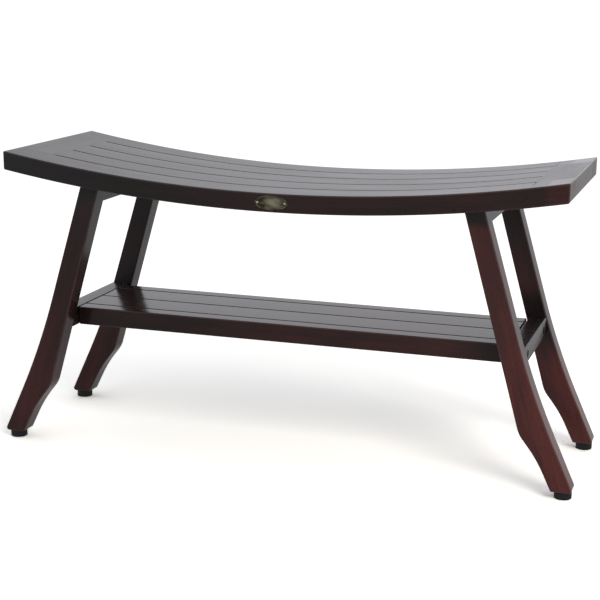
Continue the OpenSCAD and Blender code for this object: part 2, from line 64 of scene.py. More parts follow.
# Where along the log each board was cut, in metres, so that no two show the same grain.
CUT_AT = {
    "seat_front_rail": 0.7, "seat_back_rail": 2.7,
    "seat_slat_front": 4.1, "seat_slat_middle": 5.4, "seat_slat_back": 6.7,
    "seat_end_board_left": 8.0, "seat_end_board_right": 10.0,
    "seat_batten_left": 11.0, "seat_batten_right": 12.0,
    "leg_front_left": 13.0, "leg_front_right": 14.7, "leg_back_left": 16.4, "leg_back_right": 18.1,
    "upper_cross_rail_left": 21.0, "upper_cross_rail_right": 22.3,
    "lower_cross_rail_left": 25.0, "lower_cross_rail_right": 26.3,
    "shelf_front_rail": 31.0, "shelf_back_rail": 32.3, "shelf_slat_front": 33.6, "shelf_slat_back": 34.9,
    "shelf_batten_left": 41.0, "shelf_batten_middle": 42.3, "shelf_batten_right": 43.6,
    "seat_corner_dowels": 51.0, "leg_top_dowels": 51.0,
}


def linear(hex_colour):
    """Turns an sRGB hex colour into the linear colour that the shaders take."""
    parts = [int(hex_colour[i : i + 2], 16) / 255 for i in (1, 3, 5)]
    return [c / 12.92 if c <= 0.04045 else ((c + 0.055) / 1.055) ** 2.4 for c in parts]


# ---------------------------------------------------------------- sizes and finishes


def length(name, value, description):
    """A size in metres."""
    return FloatProperty(
        name=name, default=value, min=0.0, unit="LENGTH", precision=4, description=description
    )


def angle(name, degrees, description):
    """An angle, given in degrees."""
    return FloatProperty(
        name=name, default=math.radians(degrees), unit="ROTATION", description=description
    )


def share(name, value, description):
    """A number from 0 to 1."""
    return FloatProperty(
        name=name, default=value, min=0.0, max=1.0, subtype="FACTOR", description=description
    )


def colour(name, hex_colour, description):
    """A colour, given as sRGB hex."""
    return FloatVectorProperty(
        name=name, default=linear(hex_colour), size=3, min=0.0, max=1.0, subtype="COLOR",
        description=description,
    )


class SeatSizes(bpy.types.PropertyGroup):
    dip: length("Dip", 0.0396, "How far the seat's middle lies below its ends")
    rail: length("Rail thickness", 0.028, "Thickness of the long rails and end boards")
    slat: length("Slat thickness", 0.018, "Thickness of the three slats")


class LegSizes(bpy.types.PropertyGroup):
    lean_outer: angle("Outer lean", 16.8, "Lean of the outer edge above the bend")
    lean_inner: angle("Inner lean", 16.05, "Lean of the inner edge above the knee")
    toe_lean_outer: angle("Outer toe lean", 24.8, "Lean of the outer edge below the bend")
    toe_lean_inner: angle("Inner toe lean", 26.2, "Lean of the inner edge below the ankle")
    shin_lean: angle("Shin lean", 38.3, "Lean of the inner edge between knee and ankle")
    bend: length("Bend height", 0.160, "Height of the bend on the outer edge")
    bend_radius: length("Bend radius", 1.28, "Radius of the long bend on the outer edge")
    knee: length("Knee height", 0.094, "Height of the knee on the inner edge")
    knee_radius: length("Knee radius", 0.046, "Radius of the knee")
    ankle: length("Ankle height", 0.0595, "Height of the ankle on the inner edge")
    ankle_radius: length("Ankle radius", 0.21, "Radius of the ankle")
    toe: length("Toe width", 0.033, "Width of the leg where it is cut flat above its foot")
    toe_outer_radius: length("Outer toe radius", 0.0042, "Radius of the toe's outer corner")
    toe_inner_radius: length("Inner toe radius", 0.0032, "Radius of the toe's inner corner")


class EasedEdges(bpy.types.PropertyGroup):
    seat: length("Seat edge", 0.0022, "Radius sanded on the seat's outer edges")
    slot: length("Slot edge", 0.0008, "Radius sanded on the edges along the slots")
    leg: length("Leg edge", 0.0022, "Radius sanded on the long edges of a leg")
    shelf: length("Shelf edge", 0.0018, "Radius sanded on the edges of the shelf and the cross rails")
    batten: length("Batten edge", 0.0012, "Radius sanded on the lower edges of the battens")


class WoodFinish(bpy.types.PropertyGroup):
    dark: colour("Dark wood", "#181413", "The stain where it took darkest")
    red: colour("Red wood", "#5a2c28", "The stain where the red of the wood shows through")
    pore: colour("Pores", "#0b0807", "The stain that filled the pores")
    # Partly painted highlight: this pale edge colour is abraded wood and also the light a rounded edge
    # catches.
    worn_and_highlit: colour("Worn edges", "#b3a8a4", "The wood where the stain is rubbed off")
    roughness: share("Roughness", 0.24, "How matt the oiled surface is")


class HardwareFinish(bpy.types.PropertyGroup):
    brass: colour("Brass", "#e2dcbb", "The badge's rubbed metal")
    patina: colour("Patina", "#353024", "The olive-brown tarnish on the badge")
    rubber: colour("Rubber", "#0c0c0c", "The feet's pads")
    steel: colour("Steel", "#a9a9a6", "The feet's studs, their inserts and the barrel nuts")
    black: colour("Black oxide", "#2b2a2b", "Screws, bolts and washers")


class StudioSettings(bpy.types.PropertyGroup):
    floor: colour("Floor", "#e6e6e6", "The plain floor")
    room: colour("Room", "#f8f9ff", "Colour of the light from all round")
    sky: FloatProperty(
        name="Room light", default=0.5, min=0.0, description="Strength of the light from all round"
    )
    key: FloatProperty(
        name="Key light", default=30.0, min=0.0, unit="POWER",
        description="The large soft lamp at the right",
    )
    key_colour: colour("Key colour", "#fffaf4", "Colour of the large soft lamp")
    fill: FloatProperty(
        name="Fill light", default=2.0, min=0.0, unit="POWER",
        description="The low lamp at the front left",
    )
    fill_colour: colour("Fill colour", "#f2f6ff", "Colour of the low lamp")


class BenchSettings(bpy.types.PropertyGroup):
    seat: PointerProperty(type=SeatSizes, name="Seat", description="The seat's sizes")
    leg: PointerProperty(type=LegSizes, name="Legs", description="The shape of a leg, seen from the front")
    edge: PointerProperty(type=EasedEdges, name="Eased Edges", description="How round the edges are")
    wood: PointerProperty(type=WoodFinish, name="Wood", description="The stained teak")
    hardware: PointerProperty(type=HardwareFinish, name="Hardware", description="Metals and rubber")
    studio: PointerProperty(type=StudioSettings, name="Studio", description="Floor and light")


def settings():
    """The bench's sizes, finishes and lights, as the sidebar shows them."""
    return bpy.context.scene.shower_bench


# ---------------------------------------------------------------- materials


def add(tree, kind, inputs=(), **own):
    """Adds one node. own sets its properties. inputs fills its sockets, by name or in their order, with a
    value, an output, or a node that stands for its first output in use."""
    node = tree.nodes.new("ShaderNode" + kind)
    for key, value in own.items():
        setattr(node, key, value)
    for key, value in inputs.items() if isinstance(inputs, dict) else enumerate(inputs):
        if isinstance(value, bpy.types.Node):
            value = next(output for output in value.outputs if output.enabled)
        if isinstance(value, bpy.types.NodeSocket):
            tree.links.new(value, node.inputs[key])
        else:
            node.inputs[key].default_value = value
    return node


def made_of(name, build, *details):
    """The material of this name. The first time, build adds its nodes and returns the one for the surface."""
    if name not in bpy.data.materials:
        material = bpy.data.materials.new(name)
        material.use_nodes = True
        material.node_tree.nodes.clear()
        surface = build(material.node_tree, *details)
        add(material.node_tree, "OutputMaterial", {"Surface": surface})
    return bpy.data.materials[name]


def rgba(colour_value):
    """A colour with full opacity."""
    return (*colour_value, 1.0)


def stained_teak(tree):
    """Teak, planed and sanded, stained dark and oiled: a satin sheen over straight grain and fine pores.

    Attributes of each piece steer it. "grain" is the place in the board in metres along, across and into
    it. "redness" goes from 0, dark wood, to 1, red wood; on the legs it also carries painted light and shade.
    "worn" is 1 on an edge drawn fully pale, abraded and under a painted highlight, "end_grain" 1 on a face
    that is sawn across the grain, and "oiled" 1 where the oil's gloss is still new.
    "log" is the place along the tree and away from its heart, and "flat_sawn" goes to 1 on a face that
    shows the rings as long arches.
    """
    wood = settings().wood
    grain, log = (
        add(tree, "Attribute", attribute_name=name).outputs["Vector"] for name in ("grain", "log")
    )
    redness, worn_and_highlit, end_grain, oiled, flat_sawn = (
        add(tree, "Attribute", attribute_name=name).outputs["Fac"]
        for name in ("redness", "worn_and_highlit", "end_grain", "oiled", "flat_sawn")
    )

    # Along and across the grain, in millimetres: the board's figure, the fibres in it, patches where more red
    # shows, pores, and stretches of an edge that are drawn pale, abraded and under a painted highlight. Pores
    # are 8 mm long and 0.3 mm wide; they are drawn larger, because they would not show.
    patterns = []
    for along, across, looks in (
        (420, 13, {"Detail": 3.0, "Roughness": 0.5, "Distortion": 0.4}),
        (80, 2.2, {"Detail": 4.0, "Roughness": 0.6}),
        (190, 34, {"Detail": 2.0, "Roughness": 0.6}),
        (12, 0.6, {"Detail": 1.0}),
        (30, 9, {"Detail": 3.0, "Roughness": 0.7}),
    ):
        scale = (1 / (along * MM), 1 / (across * MM), 1 / (across * MM))
        stretched = add(tree, "Mapping", {"Vector": grain, "Scale": scale})
        patterns.append(add(tree, "TexNoise", {"Vector": stretched, "Scale": 1.0, **looks}))
    figure, fibre, patch, speckle, rubbing = patterns
    pores = add(tree, "MapRange", (speckle, 0.28, 0.40, 0.55, 0.0))

    # Growth rings are 7 mm apart and waver slowly along the tree. The stain is thinner between them. At
    # scale 1 the node's rings are tau / 20 apart.
    tree_axis = add(tree, "Mapping", {"Vector": log, "Scale": (0.12, 1.0, 1.0)})
    rings = add(tree, "TexWave", {
        "Vector": tree_axis, "Scale": math.tau / 20 / (7 * MM), "Distortion": 5.0,
        "Detail": 3.0, "Detail Scale": 0.5, "Detail Roughness": 0.6,
    }, wave_type="RINGS", rings_direction="X", wave_profile="SAW").outputs["Fac"]
    thin = add(tree, "MapRange", (rings, 0.3, 1.0, 0.0, 0.16))

    patchy = add(tree, "MapRange", (patch, 0.34, 0.66, 0.5, 1.4))
    red = add(tree, "Math", (redness, patchy), operation="MULTIPLY")
    red = add(tree, "Math", (thin, flat_sawn, red), operation="MULTIPLY_ADD")
    tone = add(tree, "Mix", {"Factor": red, "A": rgba(wood.dark), "B": rgba(wood.red)}, data_type="RGBA")
    depth = 1.0
    for pattern, low, high, at_low, at_high in (
        (figure, 0.3, 0.7, 0.88, 1.12), (fibre, 0.3, 0.7, 0.9, 1.1), (end_grain, 0.5, 1.0, 1.0, 0.7),
    ):
        uneven = add(tree, "MapRange", (pattern, low, high, at_low, at_high))
        depth = add(tree, "Math", (depth, uneven), operation="MULTIPLY")
    tone = add(tree, "VectorMath", {0: tone, "Scale": depth}, operation="SCALE")
    tone = add(tree, "Mix", {"Factor": pores, "A": tone, "B": rgba(wood.pore)}, data_type="RGBA")
    # Pale edges: abraded wood, and a painted highlight where a rounded edge catches the light.
    bare = add(tree, "MapRange", (rubbing, 0.3, 0.65, 0.3, 1.0))
    bare = add(tree, "Math", (worn_and_highlit, bare), operation="MULTIPLY")
    tone = add(tree, "Mix", {"Factor": bare, "A": tone, "B": rgba(wood.worn_and_highlit)}, data_type="RGBA")

    # The oil dried duller in patches. A sawn end drank more of it, and the denser red wood kept it on top.
    satin = wood.roughness
    for pattern, low, high, at_low, at_high in (
        (fibre, 0.2, 0.8, -0.02, 0.02),
        (patch, 0.3, 0.7, -0.015, 0.03),
        (redness, 0.0, 0.4, 0.02, -0.07),
        (end_grain, 0.5, 1.0, 0.0, 0.12),
        (oiled, 0.0, 1.0, 0.0, -0.08),
    ):
        duller = add(tree, "MapRange", (pattern, low, high, at_low, at_high))
        satin = add(tree, "Math", (satin, duller), operation="ADD")
    sunk = add(tree, "Math", (fibre, pores), operation="SUBTRACT")
    relief = add(tree, "Bump", {"Height": sunk, "Strength": 0.25, "Distance": 0.03 * MM})
    return add(tree, "BsdfPrincipled", {
        "Base Color": tone, "Roughness": satin, "Normal": relief, "IOR": 1.32,
    })


def moulded_rubber(tree):
    """Hard rubber, moulded: near black, dull, with the mould's fine grit and paler scuffs."""
    black = settings().hardware.rubber
    here = add(tree, "TexCoord").outputs["Object"]
    # The mould's grit is 0.2 mm; it is drawn at 0.7 mm so that it shows. Scuffs are about 12 mm long.
    grit = add(tree, "TexNoise", {"Vector": here, "Scale": 1 / (0.7 * MM), "Detail": 2.0})
    scuff = add(tree, "TexNoise", {"Vector": here, "Scale": 1 / (12 * MM), "Detail": 4.0, "Roughness": 0.7})
    scuffed = add(tree, "MapRange", (scuff, 0.5, 0.8, 0.0, 0.5))
    tone = add(tree, "Mix", {
        "Factor": scuffed, "A": rgba(black), "B": rgba([2.2 * part for part in black]),
    }, data_type="RGBA")
    dull = add(tree, "MapRange", (scuff, 0.0, 1.0, 0.5, 0.7))
    relief = add(tree, "Bump", {"Height": grit, "Strength": 0.3, "Distance": 0.1 * MM})
    return add(tree, "BsdfPrincipled", {"Base Color": tone, "Roughness": dull, "Normal": relief, "IOR": 1.4})


def aged_brass(tree):
    """Brass, stamped and darkened: olive-brown tarnish in the hollows, and the rubbed metal shines through.

    The attribute "tarnish" tells how much of it lies at each place.
    """
    finish = settings().hardware
    tarnish = add(tree, "Attribute", attribute_name="tarnish").outputs["Fac"]
    here = add(tree, "TexCoord").outputs["Object"]
    # Clouds of tarnish are about 6 mm across, drawn out sideways as by a cloth. Rubbing scratches are
    # 0.1 mm wide; they are drawn at 0.5 mm so that they show.
    patterns = []
    for size, looks in (
        ((9, 5, 4), {"Detail": 3.0, "Roughness": 0.6}),
        ((6, 0.5, 0.5), {"Detail": 2.0}),
    ):
        scale = [1 / (part * MM) for part in size]
        stretched = add(tree, "Mapping", {"Vector": here, "Scale": scale})
        patterns.append(add(tree, "TexNoise", {"Vector": stretched, "Scale": 1.0, **looks}))
    cloud, scratch = patterns
    drift = add(tree, "MapRange", (cloud, 0.3, 0.7, 0.09, -0.09))
    covered = add(tree, "Math", (tarnish, drift), operation="ADD", use_clamp=True)
    tone = add(tree, "Mix", {
        "Factor": covered, "A": rgba(finish.brass), "B": rgba(finish.patina),
    }, data_type="RGBA")
    dull = add(tree, "MapRange", (covered, 0.0, 1.0, 0.25, 0.5))
    relief = add(tree, "Bump", {"Height": scratch, "Strength": 0.3, "Distance": 0.04 * MM})
    return add(tree, "BsdfPrincipled", {
        "Base Color": tone, "Metallic": 1.0, "Roughness": dull, "Normal": relief,
    })


def turned_steel(tree, tint):
    """Steel, turned: satin, with faint marks from the tool. The tint is the bare or the blackened metal's."""
    here = add(tree, "TexCoord").outputs["Object"]
    # Tool marks are 0.15 mm apart; they are drawn at 0.5 mm so that they show.
    marks = add(tree, "TexNoise", {"Vector": here, "Scale": 1 / (0.5 * MM), "Detail": 2.0})
    tone = add(tree, "Mix", {
        "Factor": marks, "A": rgba([0.8 * part for part in tint]), "B": rgba(tint),
    }, data_type="RGBA")
    dull = add(tree, "MapRange", (marks, 0.0, 1.0, 0.28, 0.42))
    return add(tree, "BsdfPrincipled", {"Base Color": tone, "Metallic": 1.0, "Roughness": dull})


# ---------------------------------------------------------------- shaping


def seat_radius():
    """Radius of the seat's top, from the rail's length and the dip."""
    dip, half = settings().seat.dip, BOXES["seat_back_rail"][1][0]
    return (half * half + dip * dip) / (2 * dip)


def seat_axis():
    """Height of the axis that the seat's boards curve about."""
    return BOXES["seat_back_rail"][1][2] - settings().seat.dip + seat_radius()


def curve(radius, x):
    """Height of the ring of this radius about the seat's axis, at x."""
    return seat_axis() - math.sqrt(radius * radius - x * x)


def prism(outline, y0, y1):
    """A solid from an XZ outline, from y0 to y1."""
    bm = bmesh.new()
    near = [bm.verts.new((x, y0, z)) for x, z in outline]
    far = [bm.verts.new((x, y1, z)) for x, z in outline]
    bm.faces.new(near)
    bm.faces.new(reversed(far))
    for i in range(len(outline)):
        j = (i + 1) % len(outline)
        bm.faces.new((near[j], near[i], far[i], far[j]))
    bmesh.ops.recalc_face_normals(bm, faces=bm.faces)
    return bm


def from_cad(node):
    """A copy of a node's mesh, with its flat faces made whole again."""
    bm = bmesh.new()
    bm.from_mesh(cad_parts[node].data)
    bmesh.ops.remove_doubles(bm, verts=bm.verts, dist=0.002 * MM)
    bmesh.ops.dissolve_limit(bm, angle_limit=math.radians(0.2), verts=bm.verts, edges=bm.edges)
    return bm


def touches(value, *limits, slack=0.1 * MM):
    """True where a coordinate lies at one of the limits."""
    return any(abs(value - limit) < slack for limit in limits)


def rise(value, start, end):
    """0 on the near side of start, 1 beyond end and even between them; start may be the larger."""
    return max(0.0, min(1.0, (value - start) / (end - start)))


def ease(bm, radius, wanted, steps=3, wear_and_highlight=lambda co: EDGE_WEAR_AND_HIGHLIGHT):
    """Rounds the sharp edges that wanted(middle, direction) picks. wear(place) tells how pale: abrasion and
    painted highlight.
    """
    worn_and_highlit = bm.verts.layers.float.get("worn_and_highlit") or bm.verts.layers.float.new("worn_and_highlit")
    chosen = []
    for edge in bm.edges:
        one, two = (vert.co for vert in edge.verts)
        if edge.calc_face_angle(0.0) > SHARP and wanted((one + two) / 2, (two - one).normalized()):
            chosen.append(edge)
    rounded = bmesh.ops.bevel(
        bm, geom=chosen, offset=radius, offset_type="OFFSET", segments=steps, profile=0.5, affect="EDGES",
        clamp_overlap=False,
    )
    bm.normal_update()
    strips = set(rounded["faces"])
    for vert in rounded["verts"]:
        curved = [face for face in vert.link_faces if face in strips]
        flat = [face for face in vert.link_faces if face not in strips]
        if not any(one.normal.dot(two.normal) > 0.5 for one in curved for two in flat):
            vert[worn_and_highlit] = wear_and_highlight(vert.co)


def mark_grain(mesh, grain, node):
    """Writes where the grain runs, and which faces are sawn across it or show its rings as arches."""
    # The tree's heart lies 25 to 55 mm deep and up to 20 mm aside, at a place of its own for each board,
    # which was sawn a little out of line with it.
    low, high = (Vector(point) for point in BOXES[node])
    middle = Vector(grain((low + high) / 2))
    aside, deep = 20 * MM * math.sin(37 * middle.x), (40 + 15 * math.cos(23 * middle.x)) * MM
    slant = 0.04

    def log(co):
        along, across, into = Vector(grain(co)) - middle
        return (along + middle.x, across + aside, into + deep + slant * along)

    def end_grain(face):
        return abs(grain(face.center - face.normal * MM)[0] - grain(face.center)[0]) / MM

    def flat_sawn(face):
        return 1 - abs(face.normal.y)

    for label, value_at in (("grain", grain), ("log", log)):
        layer = mesh.attributes.new(label, "FLOAT_VECTOR", "POINT")
        for vertex, value in zip(mesh.vertices, layer.data):
            value.vector = value_at(vertex.co)
    for label, value_on in (("end_grain", end_grain), ("flat_sawn", flat_sawn)):
        layer = mesh.attributes.new(label, "FLOAT", "FACE")
        for face, value in zip(mesh.polygons, layer.data):
            value.value = value_on(face)


def finish_piece(name, bm, material, nodes, body=BODY, grain=None, **shades):
    """Makes the object and lets it stand for its nodes. Each of the shades is a function of the place."""
    mesh = bpy.data.meshes.new(name)
    bm.to_mesh(mesh)
    bm.free()
    mesh.materials.append(material)
    mesh.shade_smooth()
    mesh.set_sharp_from_angle(angle=SHARP)
    if grain:
        mark_grain(mesh, grain, nodes[0])
    for label, shade in shades.items():
        layer = mesh.attributes.new(label, "FLOAT", "POINT")
        for vertex, value in zip(mesh.vertices, layer.data):
            value.value = shade(vertex.co)
    piece = bpy.data.objects.new(name, mesh)
    bpy.context.scene.collection.objects.link(piece)
    smooth = piece.modifiers.new("Even normals", "WEIGHTED_NORMAL")
    smooth.keep_sharp = True
    smooth.weight = 50
    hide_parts(*nodes)
    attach(piece, body)
    return piece


def wood_piece(name, bm, node, grain, redness=LIGHT_RED, **shades):
    """Makes a board of stained teak that stands for a node. redness is a number or goes by the place."""
    by_place = redness if callable(redness) else lambda co: redness
    teak = made_of("Teak_stained_oiled", stained_teak)
    return finish_piece(name, bm, teak, [node], grain=grain, redness=by_place, **shades)


def turn_colour(bm, place, way):
    """Adds a row of points across a piece, where its colour turns."""
    whole = bm.verts[:] + bm.edges[:] + bm.faces[:]
    bmesh.ops.bisect_plane(bm, geom=whole, dist=0.05 * MM, plane_co=place, plane_no=way)


def carve(bm, cutters):
    """Cuts the solids in cutters away from bm."""
    objects = []
    for label, part in [("carved", bm)] + [("cutter", c) for c in cutters]:
        mesh = bpy.data.meshes.new(label)
        part.to_mesh(mesh)
        part.free()
        item = bpy.data.objects.new(label, mesh)
        bpy.context.scene.collection.objects.link(item)
        objects.append(item)
    for cutter in objects[1:]:
        cut = objects[0].modifiers.new("cut", "BOOLEAN")
        cut.object = cutter
        cut.operation = "DIFFERENCE"
        cut.solver = "EXACT"
    bpy.context.view_layer.update()
    evaluated = objects[0].evaluated_get(bpy.context.evaluated_depsgraph_get())
    result = bmesh.new()
    result.from_mesh(evaluated.to_mesh())
    evaluated.to_mesh_clear()
    for item in objects:
        mesh = item.data
        bpy.data.objects.remove(item)
        bpy.data.meshes.remove(mesh)
    return result


def rod(radius, low, high, steps=48):
    """A round cutter standing from low to high, two points above each other."""
    bm = bmesh.new()
    bmesh.ops.create_cone(
        bm, cap_ends=True, segments=steps, radius1=radius, radius2=radius, depth=high[2] - low[2],
        matrix=Matrix.Translation((Vector(low) + Vector(high)) / 2),
    )
    return bm


def own_grain(node, along, across, into):
    """Moves a place in a node's board to where that board was cut from the log."""
    cut = CUT_AT[node]
    return (along + cut, across + 0.37 * cut, into + 0.11 * cut)


def along_x(node):
    """Grain that follows the seat's curve."""
    radius, axis = seat_radius(), seat_axis()

    def place(co):
        turn = math.atan2(co.x, axis - co.z)
        depth = math.hypot(co.x, axis - co.z) - radius
        return own_grain(node, turn * radius, co.y, depth)

    return place


def straight(node, direction):
    """Grain along a straight piece, whose length runs in direction."""
    along = Vector(direction).normalized()
    across = along.orthogonal().normalized()
    through = along.cross(across)
    return lambda co: own_grain(node, co.dot(along), co.dot(across), co.dot(through))


def crosswise_bar(node, radius, wanted, steps=3, redness=LIGHT_RED):
    """Makes a crosswise board from a node's own solid, with the wanted edges eased."""
    bm = from_cad(node)
    ease(bm, radius, wanted, steps)
    wood_piece(node + "_bar", bm, node, straight(node, (0, 1, 0)), redness)


def corner(a, b, c, radius, steps=10):
    """Points of a round corner at b, on the way from a to c."""
    a, b, c = Vector(a), Vector(b), Vector(c)
    u, v = (a - b).normalized(), (c - b).normalized()
    half = math.acos(max(-1.0, min(1.0, u.dot(v)))) / 2
    reach = min(radius / math.tan(half), 0.49 * (a - b).length, 0.49 * (c - b).length)
    centre = b + (u + v).normalized() * (reach / math.cos(half))
    start, end = b + u * reach - centre, b + v * reach - centre
    first = math.atan2(start.y, start.x)
    turn = (math.atan2(end.y, end.x) - first + 3 * math.pi) % (2 * math.pi) - math.pi
    turns = [first + turn * i / steps for i in range(steps + 1)]
    return [tuple(centre + start.length * Vector((math.cos(t), math.sin(t)))) for t in turns]


# ---------------------------------------------------------------- seat


def seat_board(x_end, y0, y1, thickness, marks=()):
    """A board on the seat's curve, from -x_end to x_end. marks adds stations where an edge changes."""
    radius = seat_radius()
    count = 96
    stations = sorted({-x_end + 2 * x_end * i / count for i in range(count + 1)} | set(marks))
    top = [(x, curve(radius, x)) for x in stations]
    under = [(x, curve(radius + thickness, x)) for x in reversed(stations)]
    return prism(top + under, y0, y1)


class BENCH_OT_seat_rails(bpy.types.Operator):
    """Makes the two long curved rails of the seat, the front one with the badge's pocket"""

    bl_idname = "bench.seat_rails"
    bl_label = "Seat Rails"

    # Both rails grow redder towards the right between the first two places, and redder still at the right
    # tip between the last two.
    RED_END = (-0.38, 0.32)
    RED_TIP = (0.396, 0.405)

    def execute(self, context):
        seat, edge = settings().seat, settings().edge
        half, back = BOXES["seat_back_rail"][1][0], BOXES["seat_back_rail"][1][1]
        inner = BOXES["seat_back_rail"][0][1]
        slat_end = BOXES["seat_end_board_right"][0][0]
        slot_deep, tip_wear_and_highlight = 5 * MM, 3 * MM
        for side, node in ((-1, "seat_front_rail"), (1, "seat_back_rail")):
            y0, y1 = sorted((side * inner, side * back))
            bm = seat_board(half, y0, y1, seat.rail, (-slat_end, slat_end))

            def outside(middle, way):
                at_tip = touches(abs(middle.x), half, slack=MM) and abs(way.y) > 0.9
                return at_tip or touches(abs(middle.y), back, slack=MM)

            def beside_slot(middle, way):
                level = math.hypot(middle.x, seat_axis() - middle.z) - seat_radius()
                return touches(abs(middle.y), inner) and abs(middle.x) < slat_end and level < slot_deep

            # Painted highlight and abrasion: the tip edges are drawn fully pale, as the rounded end catches
            # the light from the right.
            def bare(co):
                rubbed = abs(co.x) > half - tip_wear_and_highlight and abs(co.y) < back - tip_wear_and_highlight
                return 1.0 if rubbed else EDGE_WEAR_AND_HIGHLIGHT

            ease(bm, edge.seat, outside, wear_and_highlight=bare)
            ease(bm, edge.slot, beside_slot, steps=2)
            if side < 0:
                bm = carve(bm, [self.pocket(back)])
            for x in self.RED_TIP:
                turn_colour(bm, (x, 0, 0), (1, 0, 0))
            wood_piece(node + "_board", bm, node, along_x(node), self.redness)
        return {"FINISHED"}

    @classmethod
    def redness(cls, co):
        """Grows to the right and more so at the right tip."""
        return 0.17 * rise(co.x, *cls.RED_END) + 0.27 * rise(co.x, *cls.RED_TIP)

    @staticmethod
    def pocket(front):
        """The oval recess for the badge, a little larger than its plate."""
        low, high = BOXES["badge_plate"]
        gap, deep, clear = 0.4 * MM, 1.2 * MM, 2 * MM
        a, b = (high[0] - low[0]) / 2 + gap, (high[2] - low[2]) / 2 + gap
        middle = (low[2] + high[2]) / 2
        return prism([(a * c, middle + b * d) for c, d in round_about(96)], -front - clear, -front + deep)


class BENCH_OT_seat_slats(bpy.types.Operator):
    """Makes the three slats between the rails"""

    bl_idname = "bench.seat_slats"
    bl_label = "Seat Slats"

    def execute(self, context):
        end = BOXES["seat_end_board_right"][0][0]
        for node in ("seat_slat_front", "seat_slat_middle", "seat_slat_back"):
            low, high = BOXES[node]
            bm = seat_board(end, low[1], high[1], settings().seat.slat)
            ease(bm, settings().edge.slot, lambda middle, way: abs(way.x) > 0.9, steps=2)
            wood_piece(node + "_board", bm, node, along_x(node))
        return {"FINISHED"}


class BENCH_OT_end_boards(bpy.types.Operator):
    """Makes the crosswise boards at the seat's two ends"""

    bl_idname = "bench.end_boards"
    bl_label = "End Boards"

    def execute(self, context):
        radius, thickness = seat_radius(), settings().seat.rail
        for side, node in ((-1, "seat_end_board_left"), (1, "seat_end_board_right")):
            low, high = BOXES[node]
            near, far = sorted((abs(low[0]), abs(high[0])))
            xs = [near + (far - near) * i / 8 for i in range(9)]
            outline = [(side * x, curve(radius, x)) for x in xs]
            outline += [(side * x, curve(radius + thickness, x)) for x in reversed(xs)]
            bm = prism(outline, low[1], high[1])

            def at_end(middle, way):
                return abs(middle.x) > far - MM and abs(way.y) > 0.9

            # Painted highlight and abrasion: the end edges are drawn fully pale, as the rounded end catches
            # the light from the right.
            ease(bm, settings().edge.seat, at_end, wear_and_highlight=lambda co: 1.0)
            wood_piece(node + "_board", bm, node, straight(node, (0, 1, 0.05)))
        return {"FINISHED"}


class BENCH_OT_seat_battens(bpy.types.Operator):
    """Eases the long edges of the battens under the seat"""

    bl_idname = "bench.seat_battens"
    bl_label = "Seat Battens"

    def execute(self, context):
        for node in ("seat_batten_left", "seat_batten_right"):
            low, high = BOXES[node]
            middle_z = (low[2] + high[2]) / 2

            def lower_corner(middle, way):
                return abs(way.y) > 0.99 and middle.z < middle_z and on_long_side(node, middle)

            crosswise_bar(node, settings().edge.batten, lower_corner, steps=2)
        return {"FINISHED"}


def on_long_side(node, middle):
    """True on the outer long edges of a crosswise node, away from the holes in it."""
    low, high = BOXES[node]
    return touches(middle.x, low[0], high[0], slack=0.5 * MM)


# ---------------------------------------------------------------- legs and cross rails


def leg_edges():
    """The leg's straight edges: functions of height for the outer and the inner one, and its corners."""
    leg = settings().leg
    low, high = BOXES["foot_pad_back_right"]
    foot_x, floor_gap = (low[0] + high[0]) / 2, high[2]
    toe_out, toe_in = foot_x + leg.toe / 2, foot_x - leg.toe / 2
    bend_x = toe_out - (leg.bend - floor_gap) * math.tan(leg.toe_lean_outer)
    ankle_x = toe_in - (leg.ankle - floor_gap) * math.tan(leg.toe_lean_inner)
    knee_x = ankle_x - (leg.knee - leg.ankle) * math.tan(leg.shin_lean)

    def outer(z):
        return bend_x - (z - leg.bend) * math.tan(leg.lean_outer)

    def inner(z):
        return knee_x - (z - leg.knee) * math.tan(leg.lean_inner)

    corners = {
        "bend": (bend_x, leg.bend), "toe_out": (toe_out, floor_gap), "toe_in": (toe_in, floor_gap),
        "ankle": (ankle_x, leg.ankle), "knee": (knee_x, leg.knee),
    }
    return outer, inner, corners


def leg_top(x):
    """Height of a leg's top at x, a tenth of a millimetre clear of the seat's underside."""
    return curve(seat_radius() + settings().seat.rail + 0.1 * MM, x)


def under_seat(edge):
    """Where a straight leg edge meets the underside of the seat."""
    z = BOXES["leg_back_right"][1][2]
    for _ in range(20):
        z = leg_top(edge(z))
    return edge(z), z


def leg_outline():
    """The sabre outline of the right-hand legs, seen from the front."""
    leg = settings().leg
    outer, inner, at = leg_edges()
    top_out, top_in = under_seat(outer), under_seat(inner)
    across = [top_in[0] + (top_out[0] - top_in[0]) * i / 6 for i in range(7)]
    return (
        [(x, leg_top(x)) for x in across]
        + corner(top_out, at["bend"], at["toe_out"], leg.bend_radius)
        + corner(at["bend"], at["toe_out"], at["toe_in"], leg.toe_outer_radius, 8)
        + corner(at["toe_out"], at["toe_in"], at["ankle"], leg.toe_inner_radius, 6)
        + corner(at["toe_in"], at["ankle"], at["knee"], leg.ankle_radius)
        + corner(at["ankle"], at["knee"], top_in, leg.knee_radius)
    )


